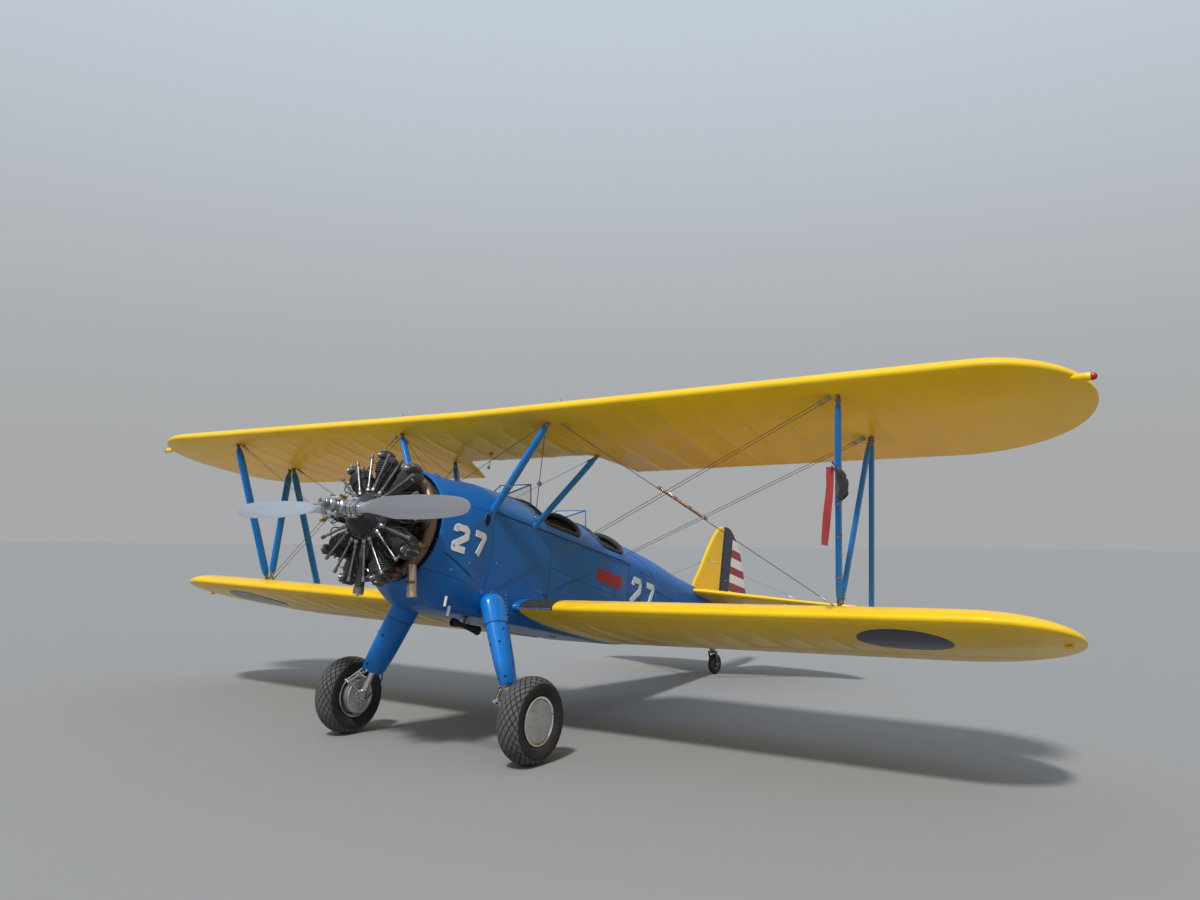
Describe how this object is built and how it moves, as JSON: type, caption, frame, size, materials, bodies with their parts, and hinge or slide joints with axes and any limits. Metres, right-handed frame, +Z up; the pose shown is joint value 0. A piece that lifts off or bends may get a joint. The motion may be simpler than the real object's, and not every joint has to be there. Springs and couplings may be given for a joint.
{
  "type": "biplane",
  "caption": "Open-cockpit training biplane with tandem cockpits, exposed radial engine, strut-braced wings and a tail wheel.",
  "frame": {"origin": "on the ground under the middle of the parked aircraft's box", "axes": "+X to the pilot's left along the span, -Y towards the nose, +Z up from the ground"},
  "size_m": [9.779, 7.4158, 2.8861],
  "materials": {
    "cowl_blue": "gloss blue enamel on sheet metal",
    "fabric_blue": "blue dope on fabric",
    "strut_blue": "gloss blue enamel",
    "wing_yellow": "yellow dope on fabric",
    "rudder_cloth": "dark blue, red and white dope on fabric",
    "windshield_glass": "clear flat panes",
    "black_leather": "worn black leather padding",
    "seat_metal": "painted sheet seat",
    "panel_black": "matt black",
    "engine_black": "black enamelled finned cylinders",
    "engine_grey": "grey enamelled casting",
    "exhaust_bronze": "heat-browned steel",
    "hub_steel": "plated steel",
    "blade_polished": "polished alloy",
    "wire_steel": "bright streamlined wire",
    "gear_steel": "machined steel",
    "wheel_alloy": "dull polished alloy disc",
    "tyre": "black rubber with diamond tread"
  },
  "bodies": {
    "airframe": {"aft_fuselage": "fabric_blue", "control_sticks": "panel_black", "engine_block": "engine_black", "engine_nose_case": "engine_grey", "exhaust_collector": "exhaust_bronze", "fin": "wing_yellow", "front_decking": "cowl_blue", "front_headrest": "black_leather", "front_instrument_panel": "panel_black", "front_seat": "seat_metal", "front_seat_cushion": "black_leather", "front_windshield": "windshield_glass", "fuselage_tub": "cowl_blue", "left_axle": "gear_steel", "left_diagonal_interplane_strut": "strut_blue", "left_front_cabane_strut": "strut_blue", "left_front_flying_wire": "wire_steel", "left_front_interplane_strut": "strut_blue", "left_gear_leg": "strut_blue", "left_landing_wire": "wire_steel", "left_lower_wing": "wing_yellow", "left_rear_cabane_strut": "strut_blue", "left_rear_flying_wire": "wire_steel", "left_rear_interplane_strut": "strut_blue", "left_upper_wing": "wing_yellow", "nose_cowl": "cowl_blue", "rear_decking": "cowl_blue", "rear_headrest": "black_leather", "rear_instrument_panel": "panel_black", "rear_seat": "seat_metal", "rear_seat_cushion": "black_leather", "rear_windshield": "windshield_glass", "right_axle": "gear_steel", "right_diagonal_interplane_strut": "strut_blue", "right_front_cabane_strut": "strut_blue", "right_front_flying_wire": "wire_steel", "right_front_interplane_strut": "strut_blue", "right_gear_leg": "strut_blue", "right_landing_wire": "wire_steel", "right_lower_wing": "wing_yellow", "right_rear_cabane_strut": "strut_blue", "right_rear_flying_wire": "wire_steel", "right_rear_interplane_strut": "strut_blue", "right_upper_wing": "wing_yellow", "stabiliser": "wing_yellow", "tailwheel_strut": "strut_blue", "upper_wing_centre": "wing_yellow"},
    "propeller": {"propeller_hub": "hub_steel", "left_propeller_blade": "blade_polished", "right_propeller_blade": "blade_polished"},
    "left_main_wheel": {"left_wheel": "wheel_alloy", "left_tyre": "tyre"},
    "right_main_wheel": {"right_wheel": "wheel_alloy", "right_tyre": "tyre"},
    "tailwheel_knuckle": {"tailwheel_fork": "gear_steel"},
    "tailwheel_roller": {"tail_wheel": "tyre"},
    "rudder_panel": {"rudder": "rudder_cloth"},
    "elevator_panels": {"elevators": "wing_yellow"},
    "left_aileron_panel": {"left_aileron": "wing_yellow"},
    "right_aileron_panel": {"right_aileron": "wing_yellow"}
  },
  "joints": [
    {"name": "propeller_spin", "type": "hinge", "parent": "airframe", "child": "propeller", "pos_m": [0, -3.48462, 1.94274], "axis": [0, -0.9765, 0.2156], "continuous": true},
    {"name": "left_wheel_spin", "type": "hinge", "parent": "airframe", "child": "left_main_wheel", "pos_m": [1.02, -2.45751, 0.333], "axis": [1, 0, 0], "continuous": true},
    {"name": "right_wheel_spin", "type": "hinge", "parent": "airframe", "child": "right_main_wheel", "pos_m": [-1.02, -2.45751, 0.333], "axis": [1, 0, 0], "continuous": true},
    {"name": "tailwheel_swivel", "type": "hinge", "parent": "airframe", "child": "tailwheel_knuckle", "pos_m": [0, 2.68531, 0.3], "axis": [0, 0, 1], "range_deg": [-30, 30]},
    {"name": "tailwheel_spin", "type": "hinge", "parent": "tailwheel_knuckle", "child": "tailwheel_roller", "pos_m": [0, 2.74031, 0.127], "axis": [1, 0, 0], "continuous": true},
    {"name": "rudder_turn", "type": "hinge", "parent": "airframe", "child": "rudder_panel", "pos_m": [0, 2.83647, 0.95678], "axis": [0, 0.2156, 0.9765], "range_deg": [-30, 30]},
    {"name": "elevator_tilt", "type": "hinge", "parent": "airframe", "child": "elevator_panels", "pos_m": [0, 2.73292, 0.92844], "axis": [1, 0, 0], "range_deg": [-22, 28]},
    {"name": "left_aileron_tilt", "type": "hinge", "parent": "airframe", "child": "left_aileron_panel", "pos_m": [3.27, -0.82207, 0.88352], "axis": [0.9997, 0.0071, 0.024], "range_deg": [-18, 18]},
    {"name": "right_aileron_tilt", "type": "hinge", "parent": "airframe", "child": "right_aileron_panel", "pos_m": [-3.27, -0.82207, 0.88352], "axis": [0.9997, -0.0071, -0.024], "range_deg": [-18, 18]}
  ],
  "couplings": [
    {"joint": "right_aileron_tilt", "follows": "left_aileron_tilt", "ratio": -1}
  ]
}
